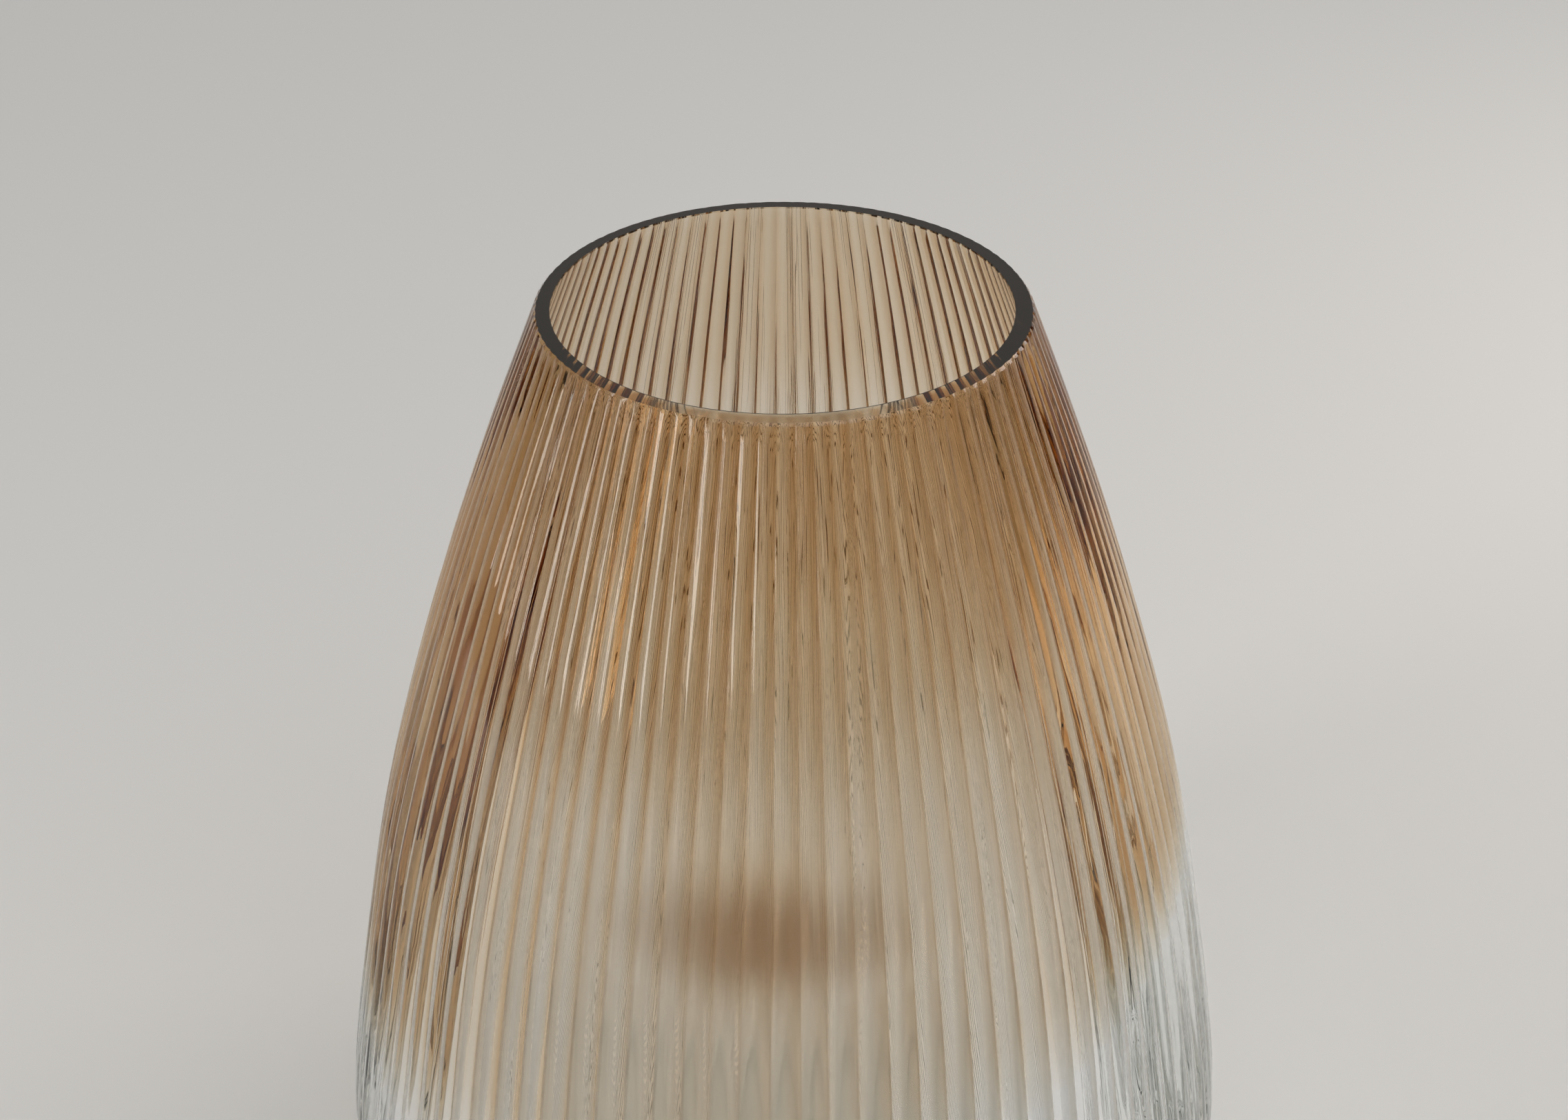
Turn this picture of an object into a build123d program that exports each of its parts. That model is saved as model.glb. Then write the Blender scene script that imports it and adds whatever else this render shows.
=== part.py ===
from build123d import *

from math import cos, pi, radians, sin
import os

# Hand blown, two-colour glass vase with an optic (reeded) outer wall.
#
# Three gathers of glass, fused hot into one vessel: an amber gather that lines the upper half and
# thins to nothing, a clear gather blown over it in a 96-reed mould, and a thick clear base gather.
# Millimetres, +Z up, origin at the centre of the foot.

# Overall form, over the reeds
HEIGHT = 280.0
MOUTH_DIAMETER = 100.0
BELLY_DIAMETER = 213.0
BELLY_HEIGHT = 66.0
FOOT_DIAMETER = 124.0

# Glass thickness
RIM_WALL = 3.6
BELLY_WALL = 3.6
BASE_THICKNESS = 11.0
FLOOR_RISE = 3.0  # how far the inside floor domes up at its middle
FLOOR_DIAMETER = 96.0

# Reeds pressed into the outside by the optic mould
REED_COUNT = 96
REED_DEPTH_RIM = 0.35
REED_DEPTH_BELLY = 1.60
REED_DEPTH_FOOT = 0.20

# Amber gather: thickest at the mouth, drawn out thin towards the belly
AMBER_LENGTH = 142.0
AMBER_RIM_THICKNESS = 1.5
AMBER_END_THICKNESS = 0.2

# Base gather and its ground, polished hollow underneath
PAD_MIDDLE = 6.0
PAD_EDGE = 14.0
HOLLOW_DIAMETER = 66.0
HOLLOW_DEPTH = 2.4

# Ground bevels that take the sharpness off the cut rim, each twice as tall as it is wide
OUTER_BEVEL = 0.3
INNER_BEVEL = 0.2
BEVEL_STEEPNESS = 2.0

# The outline from the rim down to the belly: (share of the drop, share of the flare)
SHOULDER = ((0.187, 0.278), (0.374, 0.519), (0.561, 0.721), (0.748, 0.868), (0.888, 0.963))
RIM_LEAN = 1.55  # the wall's slope at the rim, beside its average slope down to the belly
HEEL_SWEEP = 70.0  # under 90, so the heel meets the ground foot at an angle
FLOOR_SWEEP = 90.0  # the inside runs smoothly into its floor

# How finely the forms are made
WALL_SECTIONS = 12
HEEL_SECTIONS = 6
AMBER_SECTIONS = 10
HALVINGS = 40  # steps of the search for a radius, enough for any length here
OVERRUN = 1.0  # how far a cutting shape runs past the foot


def shoulder_curve(mouth_radius, belly_radius):
    """The outline from the belly up to the rim, in the XZ plane."""
    drop = HEIGHT - BELLY_HEIGHT
    flare = belly_radius - mouth_radius
    stations = [(mouth_radius + q * flare, HEIGHT - s * drop) for s, q in SHOULDER]
    points = [(belly_radius, BELLY_HEIGHT)] + stations[::-1] + [(mouth_radius, HEIGHT)]
    slope = RIM_LEAN * flare / drop
    return Spline([(r, 0, z) for r, z in points], tangents=[(0, 0, 1), (-slope, 0, 1)])


def heel_curve(flat_radius, flat_height, belly_radius, sweep):
    """The part of an ellipse, sweep degrees of it, from a flat bottom's edge up to the belly."""
    turn = radians(sweep)
    across = (belly_radius - flat_radius) / (1 - cos(turn))
    up = (BELLY_HEIGHT - flat_height) / sin(turn)
    middle = (belly_radius - across, 0, BELLY_HEIGHT)
    plane = Plane(origin=middle, x_dir=(1, 0, 0), z_dir=(0, -1, 0))
    return plane * EllipticalCenterArc((0, 0), across, up, start_angle=360 - sweep, arc_size=sweep)


def dish_curve(reach, middle_height, edge_height):
    """A shallow arc from the axis out to the reach; half way out it has done a quarter of its rise."""
    quarter = middle_height + (edge_height - middle_height) / 4
    return ThreePointArc((0, 0, middle_height), (reach / 2, 0, quarter), (reach, 0, edge_height))


def radius_at(curve, height):
    """The radius of a wall outline at one height, found by halving the interval."""
    low, high = 0.0, 1.0
    for _ in range(HALVINGS):
        middle = (low + high) / 2
        if (curve @ middle).Z < height:
            low = middle
        else:
            high = middle
    return (curve @ low).X


def turned(*edges):
    """The solid swept by a closed outline in the XZ plane, turned about the vase's axis."""
    return revolve(make_face(edges), axis=Axis.Z)


def reed_depth(height):
    """Reeds are deepest at the belly, shallower at the rim and almost gone at the foot."""
    if height >= BELLY_HEIGHT:
        share = (height - BELLY_HEIGHT) / (HEIGHT - BELLY_HEIGHT)
        return REED_DEPTH_BELLY + share * (REED_DEPTH_RIM - REED_DEPTH_BELLY)
    share = height / BELLY_HEIGHT
    return REED_DEPTH_FOOT + share * (REED_DEPTH_BELLY - REED_DEPTH_FOOT)


def reeded_section(radius, height):
    """A closed ring of convex arcs, one for each reed, with its crests at the given radius."""
    pitch = 2 * pi / REED_COUNT
    valley = radius - reed_depth(height)
    arcs = []
    for reed in range(REED_COUNT):
        middle = reed * pitch
        ends = [(valley * cos(a), valley * sin(a)) for a in (middle - pitch / 2, middle + pitch / 2)]
        crest = (radius * cos(middle), radius * sin(middle))
        arcs.append(ThreePointArc(ends[0], crest, ends[1]))
    return Pos(0, 0, height) * make_face(Wire(arcs))


def rim_bevel(radius, width):
    """The ring ground off one edge of the cut rim. A negative width bevels the inner edge."""
    low = HEIGHT - BEVEL_STEEPNESS * abs(width)
    corners = [(radius - width, 0, HEIGHT), (radius + width, 0, HEIGHT), (radius + width, 0, low)]
    return turned(Polyline(corners, close=True))


def outer_form():
    """The solid outside form: reeded from foot to rim, with the rim's outer bevel ground on."""
    wall = shoulder_curve(MOUTH_DIAMETER / 2, BELLY_DIAMETER / 2)
    heel = heel_curve(FOOT_DIAMETER / 2, 0, BELLY_DIAMETER / 2, HEEL_SWEEP)
    places = [heel @ (i / HEEL_SECTIONS) for i in range(HEEL_SECTIONS)]
    places += [wall @ (i / WALL_SECTIONS) for i in range(WALL_SECTIONS + 1)]
    form = loft([reeded_section(p.X, p.Z) for p in places])
    return form - rim_bevel(MOUTH_DIAMETER / 2, OUTER_BEVEL)


def inside_wall():
    """The outline of the blown inside, from the belly up to the rim."""
    return shoulder_curve(MOUTH_DIAMETER / 2 - RIM_WALL, BELLY_DIAMETER / 2 - BELLY_WALL)


def cavity():
    """The blown inside, from its domed floor up through the mouth."""
    wall = inside_wall()
    belly, rim = wall @ 0, wall @ 1
    heel = heel_curve(FLOOR_DIAMETER / 2, BASE_THICKNESS, belly.X, FLOOR_SWEEP)
    floor_top = BASE_THICKNESS + FLOOR_RISE
    floor = dish_curve(FLOOR_DIAMETER / 2, floor_top, BASE_THICKNESS)
    closing = Polyline((rim.X, 0, HEIGHT), (0, 0, HEIGHT), (0, 0, floor_top))
    return turned(wall, heel, floor, closing) + rim_bevel(rim.X, -INNER_BEVEL)


def amber_blank():
    """Everything inside the amber gather's outer face, solid right through."""
    wall = inside_wall()
    foot = HEIGHT - AMBER_LENGTH
    points = []
    for section in range(AMBER_SECTIONS + 1):
        share = section / AMBER_SECTIONS
        height = foot + share * AMBER_LENGTH
        thickness = AMBER_END_THICKNESS + share * (AMBER_RIM_THICKNESS - AMBER_END_THICKNESS)
        points.append((radius_at(wall, height) + thickness, 0, height))
    closing = Polyline(points[-1], (0, 0, HEIGHT), (0, 0, foot), points[0])
    return turned(Spline(points), closing)


def pad_region():
    """The space below the shallow dish where the base gather meets the body."""
    reach = BELLY_DIAMETER / 2
    dish = dish_curve(reach, PAD_MIDDLE, PAD_EDGE)
    under = Polyline((reach, 0, PAD_EDGE), (reach, 0, -OVERRUN), (0, 0, -OVERRUN), (0, 0, PAD_MIDDLE))
    return turned(dish, under)


def ground_hollow():
    """The ball whose cap is the shallow dish ground and polished into the underside."""
    edge = HOLLOW_DIAMETER / 2
    radius = (edge**2 + HOLLOW_DEPTH**2) / (2 * HOLLOW_DEPTH)
    return Pos(0, 0, HOLLOW_DEPTH - radius) * Sphere(radius)


outside = outer_form()
inside = cavity()
blank = amber_blank()
pad = pad_region()

pieces = {
    "clear_body_gather": outside - pad - blank - inside,
    "amber_gather": blank - inside,
    "clear_base_gather": (outside & pad) - ground_hollow(),
}

os.makedirs("parts", exist_ok=True)
for name, piece in pieces.items():
    export_step(piece, f"parts/{name}.step")
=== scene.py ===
"""Looks for the two-colour blown glass vase: one closed glass vessel, the amber gather held inside
its wall, a pale studio floor, soft light and the camera. Metres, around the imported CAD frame.
"""

import bpy
import numpy as np
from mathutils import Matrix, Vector


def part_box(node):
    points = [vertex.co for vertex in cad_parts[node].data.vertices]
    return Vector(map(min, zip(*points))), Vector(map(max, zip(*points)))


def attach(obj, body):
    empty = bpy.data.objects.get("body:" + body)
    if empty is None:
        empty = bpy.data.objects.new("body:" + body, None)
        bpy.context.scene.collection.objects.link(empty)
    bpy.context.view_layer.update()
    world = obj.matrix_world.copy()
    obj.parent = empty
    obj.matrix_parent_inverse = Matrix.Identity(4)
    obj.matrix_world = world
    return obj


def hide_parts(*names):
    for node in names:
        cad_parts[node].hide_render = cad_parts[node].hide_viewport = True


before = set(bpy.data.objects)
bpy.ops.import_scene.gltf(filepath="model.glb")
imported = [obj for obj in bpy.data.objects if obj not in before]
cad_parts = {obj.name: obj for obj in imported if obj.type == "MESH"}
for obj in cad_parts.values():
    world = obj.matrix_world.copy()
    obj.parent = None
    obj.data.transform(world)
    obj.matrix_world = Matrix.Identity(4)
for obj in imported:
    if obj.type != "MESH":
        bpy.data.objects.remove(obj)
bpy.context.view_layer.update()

MM = 0.001

# ---------------------------------------------------------------------------------------------
# The vessel: clear body gather and base gather, fused into one soda glass drop that swells from the
# cut mouth to a low belly. It is blown into a mould with 96 reeds, which run from rim to foot. The
# rim is cut and ground flat, and the underside has a polished hollow.
# ---------------------------------------------------------------------------------------------
body_low, body_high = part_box("clear_body_gather")
HEIGHT = body_high.z
BELLY_RADIUS = (body_high.x - body_low.x) / 2
MOUTH_RADIUS = 50 * MM
BELLY_HEIGHT = 66 * MM
FOOT_RADIUS = 62 * MM
FLOOR_RADIUS = 48 * MM
HOLLOW_RADIUS = 33 * MM
HOLLOW_DEPTH = 2.4 * MM
RIM_WALL = 3.6 * MM
BELLY_WALL = 3.6 * MM
BASE_THICKNESS = 11 * MM
FLOOR_RISE = 3 * MM
OUTER_BEVEL = 0.3 * MM
INNER_BEVEL = 0.2 * MM
BEVEL_STEEPNESS = 2
BORE_OFFSET = np.array([-0.3, 0.4]) * MM
HEEL_SWEEP = 70.0
FLOOR_SWEEP = 90.0
# the outline as (share of the drop, share of the flare), and its slope at the rim beside the average
SHOULDER = ((0, 0), (0.187, 0.278), (0.374, 0.519), (0.561, 0.721), (0.748, 0.868), (0.888, 0.963), (1, 1))
RIM_LEAN = 1.55
WALL_ROWS = 46
INSIDE_ROWS = 30
HEEL_ROWS = 11
INSIDE_HEEL_ROWS = 12
FLOOR_ROWS = 5

REED_COUNT = 96
REED_DEPTH_RIM = 0.42 * MM
REED_DEPTH_BELLY = 1.6 * MM
REED_DEPTH_FOOT = 0.20 * MM
REED_FADE = 1.5
# the points across one reed, close together in its sharp valley, and the even points round the inside
REED_SHARES = np.array([0, 0.13, 0.26, 0.37, 0.45, 0.487, 0.5, 0.513, 0.55, 0.63, 0.74, 0.87])
INSIDE_POINTS = 288
# each reed runs out into a small arch in the last rows below the rim
ARCH_ROWS = np.array([3.6, 2.6, 1.7, 0.0]) * MM
ARCH_SHARE = 0.45
# uneven blowing: drift and jitter as shares of a reed's width, depth as a share of its depth
REED_DRIFT = 0.12
REED_JITTER = 0.05
DEPTH_SPREAD = 0.22
RIPPLE = 0.05 * MM
RIM_POLISH = 0.6
# a sharp edge has a ring of points a hair to either side, so its two faces keep their own slopes
HAIR = 0.04 * MM


def smooth_line(x, y, start_slope, end_slope, at):
    """A clamped cubic spline through the points x, y. The slopes at the knots come from the usual
    tridiagonal system, which makes the second derivative run on from piece to piece."""
    n = len(x)
    h = np.diff(x)
    rule = np.zeros((n, n))
    right = np.zeros(n)
    rule[0, 0] = rule[-1, -1] = 1
    right[0], right[-1] = start_slope, end_slope
    for i in range(1, n - 1):
        rule[i, i - 1 : i + 2] = 1 / h[i - 1], 2 / h[i - 1] + 2 / h[i], 1 / h[i]
        right[i] = 3 * ((y[i] - y[i - 1]) / h[i - 1] ** 2 + (y[i + 1] - y[i]) / h[i] ** 2)
    m = np.linalg.solve(rule, right)
    k = np.clip(np.searchsorted(x, at) - 1, 0, n - 2)
    t = (at - x[k]) / h[k]
    a, b = y[k], y[k + 1]
    rise = (2 * t**3 - 3 * t**2 + 1) * a + (3 * t**2 - 2 * t**3) * b
    return rise + h[k] * ((t**3 - 2 * t**2 + t) * m[k] + (t**3 - t**2) * m[k + 1])


def shoulder_radius(drop_share, mouth, belly):
    """Radius at a share of the drop from rim to belly: the mouth's radius plus the spline's share
    of the flare, leaving the rim RIM_LEAN times steeper than average and upright at the belly."""
    s, q = np.array(SHOULDER, float).T
    return mouth + (belly - mouth) * smooth_line(s, q, RIM_LEAN, 0.0, drop_share)


def wall_line(mouth, belly, rows):
    """Rows of (radius, height) from the belly up to the rim, the last ones close together."""
    s = np.append(np.linspace(1, 0, rows)[:-1], ARCH_ROWS / (HEIGHT - BELLY_HEIGHT))
    return np.stack([shoulder_radius(s, mouth, belly), HEIGHT - s * (HEIGHT - BELLY_HEIGHT)], 1)


def heel_line(flat_radius, flat_height, belly, sweep, rows):
    """Rows of (radius, height) along the ellipse from a flat bottom's edge out to the belly."""
    turn = np.radians(sweep)
    across = (belly - flat_radius) / (1 - np.cos(turn))
    up = (BELLY_HEIGHT - flat_height) / np.sin(turn)
    a = np.linspace(-turn, 0, rows)
    return np.stack([belly - across + across * np.cos(a), BELLY_HEIGHT + up * np.sin(a)], 1)


def spread(line, azimuth, swell=0.0, shift=(0.0, 0.0)):
    """Turns rows of (radius, height) about the axis: each point is (radius + swell) times
    (sin, -cos) of its azimuth, azimuth 0 facing the front, plus a sideways shift."""
    radius, height = np.broadcast_arrays(line[:, :1] + swell, line[:, 1:] + 0 * azimuth)
    return np.stack([radius * np.sin(azimuth) + shift[0], -radius * np.cos(azimuth) + shift[1], height], 2)


def unit(step):
    """A step along an outline, cut to length one."""
    return step / np.linalg.norm(step)


def link_rings(first, second):
    """Faces between two closed rings of point numbers. Where the first has k points for each one
    of the second, each group of k quads narrows into fans at its two ends."""
    k = len(first) // len(second)
    a, b = np.asarray(first), np.asarray(second)
    nearest = ((np.arange(len(a)) + k // 2) // k) % len(b)
    near, far = b[nearest], b[np.roll(nearest, -1)]
    quads = np.stack([a, np.roll(a, -1), far, near], 1)
    return quads[near != far].tolist() + quads[near == far, :3].tolist()


def closed_mesh(name, grids, start_pole=None, end_pole=None):
    """A closed mesh from blocks of rings, each ring linked to the next one, with a fan to a pole at
    either end (or the last ring linked to the first)."""
    points = [ring for grid in grids for ring in grid]
    starts = np.cumsum([0] + [len(ring) for ring in points])
    rings = [np.arange(start, start + len(ring)) for start, ring in zip(starts, points)]
    pairs = list(zip(rings[:-1], rings[1:]))
    if start_pole is None:
        pairs.append((rings[-1], rings[0]))
    faces = []
    for one, two in pairs:
        faces += link_rings(one, two) if len(one) >= len(two) else [f[::-1] for f in link_rings(two, one)]
    tip = starts[-1]
    for pole, ring, turn in ((start_pole, rings[0], -1), (end_pole, rings[-1], 1)):
        if pole is not None:
            points.append(np.array([pole]))
            faces += np.stack([ring, np.roll(ring, -1), np.full(len(ring), tip)], 1)[:, ::turn].tolist()
            tip += 1
    mesh = bpy.data.meshes.new(name)
    mesh.from_pydata(np.concatenate(points).tolist(), [], faces)
    mesh.shade_smooth()
    mesh.update()
    piece = bpy.data.objects.new(name, mesh)
    bpy.context.scene.collection.objects.link(piece)
    return piece


rng = np.random.default_rng(7)


def wander(knots_round, knots_up, around, up):
    """Smooth random values from -1 to 1: a table with knots_round x knots_up cells, read with
    smoothstep weights at around (in turns, wrapping) and up (0 to 1)."""
    table = rng.uniform(-1, 1, (knots_round, knots_up + 1))
    u = (around % 1.0) * knots_round
    v = np.clip(up, 0, 1 - 1e-9) * knots_up
    i, j = np.floor(u).astype(int), np.floor(v).astype(int)
    a, b = u - i, v - j
    a, b = a * a * (3 - 2 * a), b * b * (3 - 2 * b)
    i, i1 = i % knots_round, (i + 1) % knots_round
    near = table[i, j] * (1 - a) + table[i1, j] * a
    far = table[i, j + 1] * (1 - a) + table[i1, j + 1] * a
    return near * (1 - b) + far * b


def reed_depth(height):
    """Deepest at the belly, shallower towards the rim by a power of the rise, nearly gone at the
    foot, and cut to ARCH_SHARE over the last rows below the rim."""
    up = np.clip((height - BELLY_HEIGHT) / (HEIGHT - BELLY_HEIGHT), 0, 1)
    down = np.clip(height / BELLY_HEIGHT, 0, 1)
    above = REED_DEPTH_BELLY + up**REED_FADE * (REED_DEPTH_RIM - REED_DEPTH_BELLY)
    below = REED_DEPTH_FOOT + down * (REED_DEPTH_BELLY - REED_DEPTH_FOOT)
    arch = ARCH_SHARE + (1 - ARCH_SHARE) * np.clip((HEIGHT - height) / ARCH_ROWS[0], 0, 1)
    return np.where(height >= BELLY_HEIGHT, above * arch, below)


# the polished hollow under the base, out to the edge of the ground foot ring
inner_mouth, inner_belly = MOUTH_RADIUS - RIM_WALL, BELLY_RADIUS - BELLY_WALL
inside_turn = np.linspace(0, 2 * np.pi, INSIDE_POINTS, endpoint=False)[None, :]
hollow = np.array([0.15, 0.35, 0.55, 0.75, 0.9, 1 - HAIR / HOLLOW_RADIUS, 1])
under = np.stack([HOLLOW_RADIUS * hollow, HOLLOW_DEPTH * (1 - hollow**2)], 1)
under = np.vstack([under, [[HOLLOW_RADIUS + HAIR, 0]]])
hollow_grid = spread(under, inside_turn)

# the reeded outside, from the foot ring up to the rim's outer bevel
heel = heel_line(FOOT_RADIUS, 0, BELLY_RADIUS, HEEL_SWEEP, HEEL_ROWS)[:-1]
wall = wall_line(MOUTH_RADIUS, BELLY_RADIUS, WALL_ROWS)
lean = unit(wall[-1] - wall[-2])
wall[-1] -= lean * BEVEL_STEEPNESS * OUTER_BEVEL
foot_edge = np.array([[FOOT_RADIUS - HAIR, 0], [FOOT_RADIUS, 0]])
heel_start = heel[:1] + [[HAIR / 2, HAIR]]
outline = np.vstack([foot_edge, heel_start, heel[1:], wall[:-1], wall[-1:] - lean * HAIR, wall[-1:]])
phase = (np.arange(REED_COUNT)[:, None] + REED_SHARES).reshape(1, -1)
height = outline[:, 1:]
level = height / HEIGHT
turn = phase / REED_COUNT
pitch = 2 * np.pi / REED_COUNT
drift = REED_DRIFT * wander(48, 2, turn, level) + REED_JITTER * wander(96, 4, turn, level)
outside_turn = 2 * np.pi * turn + pitch * drift
across = np.abs((phase + 0.5) % 1.0 - 0.5) * 2
depth = reed_depth(height) * (1 + DEPTH_SPREAD * wander(96, 5, turn, level))
ripple = RIPPLE * wander(300, 24, turn, level)


def seam(degrees, lean_degrees, width, rise):
    """A ridge along a mould seam that leans by lean_degrees times the square of the level: a bell
    curve across it, width its spread in metres of arc."""
    at = np.radians(degrees + lean_degrees * level**2)
    gap = (outside_turn - at + np.pi) % (2 * np.pi) - np.pi
    return rise * np.exp(-((gap * outline[:, :1] / width) ** 2))


front_seam = seam(7.0, 6.0, 0.45 * MM, 0.34 * MM)
back_seam = seam(188.0, 4.5, 0.8 * MM, 0.25 * MM)
swell = -depth * across**2 + ripple + front_seam + back_seam
outside_grid = spread(outline, outside_turn, swell)

# the cut rim: outer bevel, flat ground face, inner bevel
bevel_top = MOUTH_RADIUS - OUTER_BEVEL
rim_outer = np.array([[bevel_top + HAIR / 2, HEIGHT - HAIR], [bevel_top, HEIGHT], [bevel_top - HAIR, HEIGHT]])
rim_grid = spread(rim_outer, outside_turn[-1:], RIM_POLISH * swell[-1:])
bevel_in = inner_mouth + INNER_BEVEL
inside_wall = wall_line(inner_mouth, inner_belly, INSIDE_ROWS)[::-1]
lean_in = unit(inside_wall[1] - inside_wall[0])
inside_wall[0] += lean_in * BEVEL_STEEPNESS * INNER_BEVEL
bevel_down = unit(inside_wall[0] - [bevel_in, HEIGHT])
rim_inner = np.array([[bevel_in + HAIR, HEIGHT], [bevel_in, HEIGHT], [bevel_in, HEIGHT] + bevel_down * HAIR])
rim_inner = np.vstack([rim_inner, inside_wall[0] - bevel_down * HAIR])

# the blown inside, down from the inner bevel to the domed floor
inside_heel = heel_line(FLOOR_RADIUS, BASE_THICKNESS, inner_belly, FLOOR_SWEEP, INSIDE_HEEL_ROWS)[::-1][1:]
floor_share = np.linspace(0.85, 0.1, FLOOR_ROWS)
inside_floor = np.stack([FLOOR_RADIUS * floor_share, BASE_THICKNESS + FLOOR_RISE * (1 - floor_share**2)], 1)
inside_top = np.vstack([rim_inner, inside_wall[:1], inside_wall[:1] + lean_in * HAIR])
inside_line = np.vstack([inside_top, inside_wall[1:], inside_heel, inside_floor])
inside_grid = spread(inside_line, inside_turn, 0.0, BORE_OFFSET)

vessel = closed_mesh(
    "vessel_glass",
    [hollow_grid, outside_grid, rim_grid, inside_grid],
    start_pole=(0, 0, HOLLOW_DEPTH),
    end_pole=(*BORE_OFFSET, BASE_THICKNESS + FLOOR_RISE),
)
# marks the reeded skin, the only face that was chilled by the mould
skin = np.zeros(len(vessel.data.vertices))
skin[hollow_grid.shape[0] * INSIDE_POINTS :][: outside_grid.shape[0] * outside_grid.shape[1]] = 1
vessel.data.attributes.new("outside", "FLOAT", "POINT").data.foreach_set("value", skin)
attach(vessel, "root")
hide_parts("clear_body_gather", "clear_base_gather")


def linear(hex_colour):
    """sRGB hex to linear RGBA."""
    v = np.array([int(hex_colour[i : i + 2], 16) for i in (0, 2, 4)]) / 255
    return (*np.where(v <= 0.04045, v / 12.92, ((v + 0.055) / 1.055) ** 2.4), 1.0)


def node(tree, kind, links=None, values=None, **settings):
    """Adds a node, with its properties from settings, the sockets it reads from links and the values
    of its other inputs from values, by name or number."""
    made = tree.nodes.new(kind)
    for key, value in settings.items():
        setattr(made, key, value)
    for key, value in (values or {}).items():
        made.inputs[key].default_value = value
    for key, source in (links or {}).items():
        tree.links.new(source, made.inputs[key])
    return made


# Soda-lime glass with the fire polish it keeps from the mould: clear, with a faint green in its
# depth, and a skin of long chill wrinkles that breaks up what shows through it.
clear_glass = bpy.data.materials.new("cased_soda_glass_reeded")
clear_glass.use_nodes = True
tree = clear_glass.node_tree
tree.nodes.clear()
out = node(tree, "ShaderNodeOutputMaterial")
fire_polished = {"Transmission Weight": 1.0, "IOR": 1.5, "Roughness": 0.0}
shader = node(tree, "ShaderNodeBsdfPrincipled", values=fire_polished)
place = node(tree, "ShaderNodeTexCoord").outputs["Object"]
split = node(tree, "ShaderNodeSeparateXYZ", {0: place})
flat = node(tree, "ShaderNodeCombineXYZ", {0: split.outputs[0], 1: split.outputs[1]})
around = node(tree, "ShaderNodeVectorMath", {0: flat.outputs[0]}, operation="NORMALIZE")
upright = node(tree, "ShaderNodeCombineXYZ", {2: split.outputs[2]})


def wrinkle(per_radian, per_metre, detail):
    """Noise with per_radian cells round the wall and per_metre cells up it, from the azimuth's place
    on the unit circle and the height."""
    wide = node(tree, "ShaderNodeVectorMath", {0: around.outputs[0]}, {"Scale": per_radian}, operation="SCALE")
    tall = node(tree, "ShaderNodeVectorMath", {0: upright.outputs[0]}, {"Scale": per_metre}, operation="SCALE")
    both = node(tree, "ShaderNodeVectorMath", {0: wide.outputs[0], 1: tall.outputs[0]}, operation="ADD")
    grain = {"Scale": 1.0, "Detail": detail, "Roughness": 0.55}
    return node(tree, "ShaderNodeTexNoise", {"Vector": both.outputs[0]}, grain).outputs[0]


# broad waves, and hair lines where a finer noise crosses its middle, in patches
WRINKLE_DEPTH = 0.32 * MM
BROAD_SHARE = 0.45
broad = wrinkle(30.0, 11.0, 2.0)
lines = wrinkle(64.0, 9.0, 1.0)
patches = wrinkle(9.0, 7.0, 0.0)
middle = node(tree, "ShaderNodeMath", {0: lines}, {1: 0.5}, operation="SUBTRACT").outputs[0]
gap = node(tree, "ShaderNodeMath", {0: middle}, operation="ABSOLUTE").outputs[0]
groove = {"From Min": 0.0, "From Max": 0.045, "To Min": -0.16, "To Max": 0.0}
hair = node(tree, "ShaderNodeMapRange", {"Value": gap}, groove, interpolation_type="SMOOTHSTEP")
patch_edge = {"From Min": 0.46, "From Max": 0.62}
where = node(tree, "ShaderNodeMapRange", {"Value": patches}, patch_edge, interpolation_type="SMOOTHSTEP")
hairs = node(tree, "ShaderNodeMath", {0: hair.outputs[0], 1: where.outputs[0]}, operation="MULTIPLY")
both = node(tree, "ShaderNodeMath", {0: broad, 2: hairs.outputs[0]}, {1: BROAD_SHARE}, operation="MULTIPLY_ADD")
# only on the reeded skin, and strongest in the first glass below the rim
on_skin = node(tree, "ShaderNodeAttribute", attribute_name="outside").outputs["Fac"]
fade_up = {"From Min": 0.10, "From Max": HEIGHT, "To Min": 0.45, "To Max": 1.0}
fade = node(tree, "ShaderNodeMapRange", {"Value": split.outputs[2]}, fade_up, interpolation_type="SMOOTHSTEP")
strength = node(tree, "ShaderNodeMath", {0: on_skin, 1: fade.outputs[0]}, operation="MULTIPLY")
relief = {"Height": both.outputs[0], "Strength": strength.outputs[0]}
bump = node(tree, "ShaderNodeBump", relief, {"Distance": WRINKLE_DEPTH})
tree.links.new(bump.outputs[0], shader.inputs["Normal"])

# the amber seen through the skin: a warm stain that deepens up to the rim, and one soft painted shadow low on
# the front, a brown spot in the base colour that stands for the amber-tinted shadow on the floor behind, seen
# through the wall
SHADOW_SPOT_PLACE = (-0.0055, -0.087, 0.185)
SHADOW_SPOT_STRETCH = (0.55, 0.7, 1.3)
SHADOW_SPOT_RAGGED = 0.012
rise_up = {"From Min": 0.15, "From Max": 0.26}
stain = node(tree, "ShaderNodeMapRange", {"Value": split.outputs[2]}, rise_up, interpolation_type="SMOOTHSTEP")
clear_to_warm = {6: linear("ffffff"), 7: linear("f6ebdb")}
warm = node(tree, "ShaderNodeMix", {"Factor": stain.outputs[0]}, clear_to_warm, data_type="RGBA")
shrunk = node(tree, "ShaderNodeVectorMath", {0: place}, {1: SHADOW_SPOT_STRETCH}, operation="MULTIPLY")
streak = node(tree, "ShaderNodeVectorMath", {0: lines}, {"Scale": SHADOW_SPOT_RAGGED}, operation="SCALE")
ragged = node(tree, "ShaderNodeVectorMath", {0: shrunk.outputs[0], 1: streak.outputs[0]}, operation="ADD")
shadow_spot_middle = tuple(p * k + SHADOW_SPOT_RAGGED / 2 for p, k in zip(SHADOW_SPOT_PLACE, SHADOW_SPOT_STRETCH))
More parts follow.
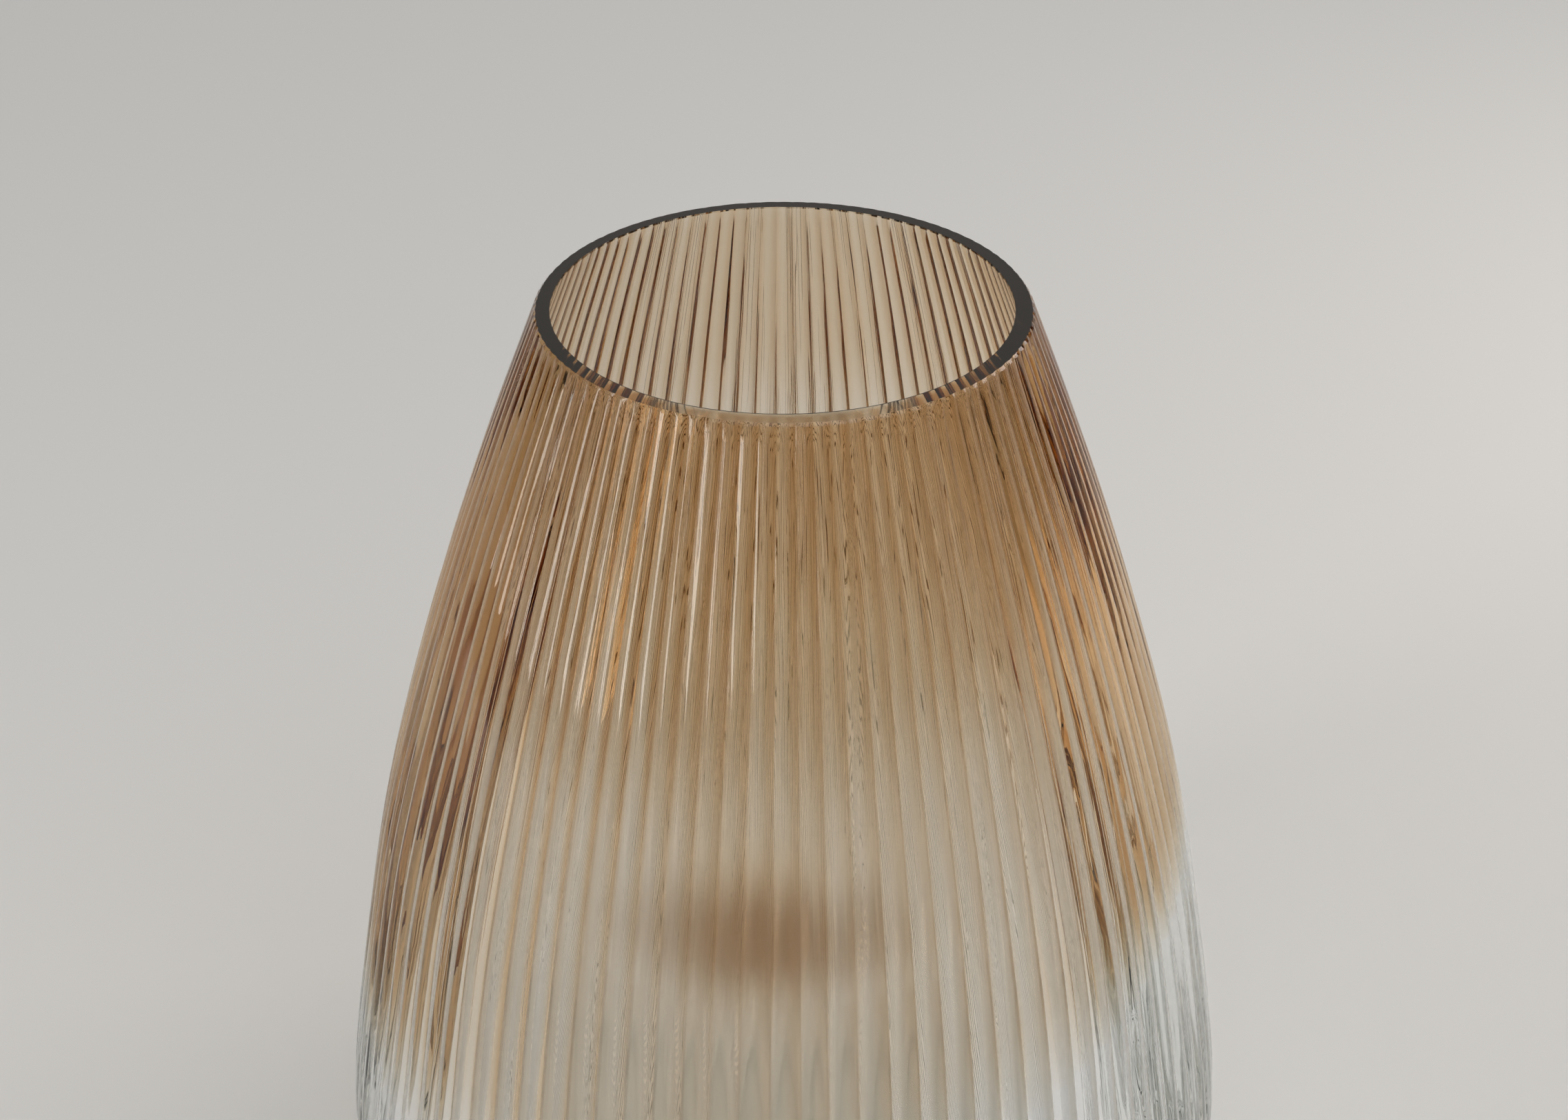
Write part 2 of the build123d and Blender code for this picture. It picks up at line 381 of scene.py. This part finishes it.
apart = node(tree, "ShaderNodeVectorMath", {0: ragged.outputs[0]}, {1: shadow_spot_middle}, operation="DISTANCE")
soft_edge = {"From Min": 0.002, "From Max": 0.024, "To Min": 1.0, "To Max": 0.0}
from_shadow_spot = {"Value": apart.outputs["Value"]}
shadow_spot = node(tree, "ShaderNodeMapRange", from_shadow_spot, soft_edge, interpolation_type="SMOOTHERSTEP")
warm_and_shadow_spot = {"Factor": shadow_spot.outputs[0], 6: warm.outputs[2]}
# painted shadow: inside the spot the base colour turns brown, for the tinted shadow behind the vase seen
# through the wall
painted_shadow = node(tree, "ShaderNodeMix", warm_and_shadow_spot, {7: linear("d1c0ad")}, data_type="RGBA")
tree.links.new(painted_shadow.outputs[2], shader.inputs["Base Color"])
tint = node(tree, "ShaderNodeVolumeAbsorption", values={"Density": 10.0, "Color": linear("c4d4cb")})
tree.links.new(shader.outputs[0], out.inputs["Surface"])
tree.links.new(tint.outputs[0], out.inputs["Volume"])
vessel.data.materials.append(clear_glass)

# ---------------------------------------------------------------------------------------------
# The amber gather: the first glass on the pipe, so it lines the mouth thickly and thins to nothing
# towards the belly. It lies a hair inside the vessel's skin, so light bends once, at the skin.
# ---------------------------------------------------------------------------------------------
AMBER_THICKNESS = 1.25 * MM
AMBER_ROWS = 40
AMBER_POINTS_PER_REED = 6
SKIN = 0.04 * MM
# the lower edge hangs lower on the left and in front
LOW_EDGE = 128 * MM
LOW_EDGE_LEAN = 24 * MM
LOW_EDGE_FRONT = 6 * MM
LOW_EDGE_TURN = 0.17
# thickness along the drop as (share of the drop, share of the full thickness), and round the wall
THINNING = ((0, 0.3, 0.45, 0.7, 0.85, 1.0), (1.0, 1.05, 0.58, 0.42, 0.36, 0.02))
BACK_SHARE = 0.58
FRONT_EXTRA = 0.76
FRONT_POWER = 3
# the blowing pools the amber behind each valley; the extra on the flanks is painted shade that darkens the
# valley streaks there
POOLED = 0.32
POOLED_FLANK_SHADE = 0.53
UNEVEN = 0.15
# one thicker patch of amber low on the front, painted shade for the amber-tinted shadow on the floor behind
# that shows through the wall, and the clear glass that stays over the amber
SHADE_PATCH_TURN = -0.06
SHADE_PATCH_HEIGHT = 187 * MM
SHADE_PATCH_SPREAD = 13 * MM
SHADE_PATCH_THICKNESS = 1.0 * MM
SHADE_PATCH_RADIUS = 87 * MM
CASING = 0.6 * MM
REED_ALLOWANCE = 1.3

amber_phase = np.arange(REED_COUNT * AMBER_POINTS_PER_REED)[None, :] / AMBER_POINTS_PER_REED
amber_round = amber_phase / REED_COUNT
amber_turn = 2 * np.pi * amber_round
s = np.linspace(0, 1, AMBER_ROWS)[:, None]
low_edge = LOW_EDGE + LOW_EDGE_LEAN * np.sin(amber_turn - LOW_EDGE_TURN) - LOW_EDGE_FRONT * np.cos(amber_turn)
drop = s * (HEIGHT - low_edge)
drop_share = drop / (HEIGHT - BELLY_HEIGHT)
inner = shoulder_radius(drop_share.ravel(), inner_mouth, inner_belly).reshape(drop.shape) + SKIN
front = ((1 + np.cos(amber_turn)) / 2) ** FRONT_POWER
thick = AMBER_THICKNESS * np.interp(s, *THINNING) * (BACK_SHARE + FRONT_EXTRA * front)
# amber pooled behind the valleys, plus painted shade as more amber on the flanks
pooled_and_flank_shade = (POOLED + POOLED_FLANK_SHADE * np.sin(amber_turn) ** 2) * np.cos(2 * np.pi * (amber_phase + 0.5))
thick = thick * (1 + UNEVEN * wander(96, 3, amber_round, 1 - s) + pooled_and_flank_shade)
shade_patch_across = (np.angle(np.exp(1j * amber_turn)) - SHADE_PATCH_TURN) * SHADE_PATCH_RADIUS
shade_patch_up = HEIGHT - drop - SHADE_PATCH_HEIGHT
# painted shade: extra amber low on the front darkens the wall where the vase's tinted shadow shows through
thick = thick + SHADE_PATCH_THICKNESS * np.exp(-(shade_patch_across**2 + shade_patch_up**2) / SHADE_PATCH_SPREAD**2)
thick = np.minimum(thick, BELLY_WALL - REED_ALLOWANCE * reed_depth(HEIGHT - drop) - CASING)
inner[0] += INNER_BEVEL
outer = inner + thick
outer[0] -= INNER_BEVEL
z = HEIGHT - drop
z[0] -= SKIN


def lining_rings(radius):
    """Rings of the lining at these radii: azimuth 0 faces the front, about the bore's own axis."""
    across = radius * np.sin(amber_turn) + BORE_OFFSET[0]
    return np.stack([across, -radius * np.cos(amber_turn) + BORE_OFFSET[1], z], 2)


amber = closed_mesh("amber_lining", [np.vstack([lining_rings(outer)[::-1], lining_rings(inner)])])
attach(amber, "root")
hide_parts("amber_gather")

# Amber glass, coloured all through: no surface of its own where it is fused to the clear, only a
# colour that deepens with the way light takes, from beige through topaz to brown.
amber_glass = bpy.data.materials.new("amber_glass_gather")
amber_glass.use_nodes = True
tree = amber_glass.node_tree
tree.nodes.clear()
out = node(tree, "ShaderNodeOutputMaterial")
fused = {"Transmission Weight": 1.0, "IOR": 1.0, "Roughness": 0.0, "Base Color": linear("ffffff")}
shader = node(tree, "ShaderNodeBsdfPrincipled", values=fused)
tint = node(tree, "ShaderNodeVolumeAbsorption", values={"Density": 700.0, "Color": linear("e4c173")})
tree.links.new(shader.outputs[0], out.inputs["Surface"])
tree.links.new(tint.outputs[0], out.inputs["Volume"])
amber.data.materials.append(amber_glass)

# ---------------------------------------------------------------------------------------------
# The studio: a pale plaster floor, a soft sky of light that is brightest overhead and towards the
# viewer, a window on either side, a dim panel behind for the rim's cut face, and the camera.
# ---------------------------------------------------------------------------------------------
FLOOR_SPAN = 6.0
FLOOR_DROP = 0.2 * MM
floor_corners = [(x * FLOOR_SPAN, y * FLOOR_SPAN, -FLOOR_DROP) for x, y in ((-1, -1), (1, -1), (1, 1), (-1, 1))]
floor_mesh = bpy.data.meshes.new("floor")
floor_mesh.from_pydata(floor_corners, [], [(0, 1, 2, 3)])
floor = bpy.data.objects.new("floor", floor_mesh)
bpy.context.scene.collection.objects.link(floor)
# matt plaster, a warm off-white that takes a soft shadow
plaster = bpy.data.materials.new("pale_plaster")
plaster.use_nodes = True
plaster.node_tree.nodes["Principled BSDF"].inputs["Base Color"].default_value = linear("e8e6e3")
plaster.node_tree.nodes["Principled BSDF"].inputs["Roughness"].default_value = 0.8
floor_mesh.materials.append(plaster)

BRIGHTEST_WAY = (0.20, -0.38, 0.903)
world = bpy.data.worlds.new("soft_studio")
bpy.context.scene.world = world
world.use_nodes = True
tree = world.node_tree
sky_way = node(tree, "ShaderNodeTexCoord").outputs["Generated"]
side = node(tree, "ShaderNodeVectorMath", {0: sky_way}, {1: BRIGHTEST_WAY}, operation="DOT_PRODUCT")
sky = {"From Min": 0.66, "From Max": 0.97, "To Min": 0.035, "To Max": 1.66}
glow = node(tree, "ShaderNodeMapRange", {"Value": side.outputs["Value"]}, sky, interpolation_type="SMOOTHSTEP")
tree.links.new(glow.outputs["Result"], tree.nodes["Background"].inputs["Strength"])
tree.nodes["Background"].inputs["Color"].default_value = linear("feffff")


def soft_light(name, place, back_from, width, tall, watts, colour):
    """A rectangle of light at place that faces away from the direction back_from, which points from
    what it lights to the light."""
    data = bpy.data.lights.new(name, "AREA")
    data.shape = "RECTANGLE"
    data.size = width
    data.size_y = tall
    data.energy = watts
    data.color = linear(colour)[:3]
    light = bpy.data.objects.new(name, data)
    light.location = place
    light.rotation_euler = Vector(back_from).to_track_quat("Z", "Y").to_euler()
    bpy.context.scene.collection.objects.link(light)


soft_light("side_window", (1.0, 0.35, 0.6), (0.75, 0.05, 0.6), 0.5, 0.5, 3.4, "fff9f3")
soft_light("back_panel", (0.0, 1.7, 1.12), (0.0, 1.7, 0.85), 1.8, 0.5, 1.1, "fff5ea")
soft_light("tall_window", (-1.2, -0.75, 0.55), (-1.2, -0.75, 0.35), 0.35, 0.9, 6.5, "fffcf7")

CAMERA_DISTANCE = 8.8 * MOUTH_RADIUS
CAMERA_RISE = np.radians(26.05)
CAMERA_PITCH = np.radians(32.8)
camera_data = bpy.data.cameras.new("camera")
camera_data.lens = 50.06
camera_data.sensor_width = 36.0
camera_data.clip_start = 0.01
camera = bpy.data.objects.new("camera", camera_data)
camera.location = (0, -CAMERA_DISTANCE * np.cos(CAMERA_RISE), HEIGHT + CAMERA_DISTANCE * np.sin(CAMERA_RISE))
camera.rotation_euler = (np.pi / 2 - CAMERA_PITCH, 0, 0)
bpy.context.scene.collection.objects.link(camera)
bpy.context.scene.camera = camera

# enough bounces for light to find its way through four reeded walls, with nothing blurred or clamped
scene = bpy.context.scene
scene.view_settings.view_transform = "Standard"
scene.cycles.max_bounces = 32
scene.cycles.transmission_bounces = 32
scene.cycles.glossy_bounces = 8
scene.cycles.blur_glossy = 0.0
scene.cycles.sample_clamp_indirect = 0.0
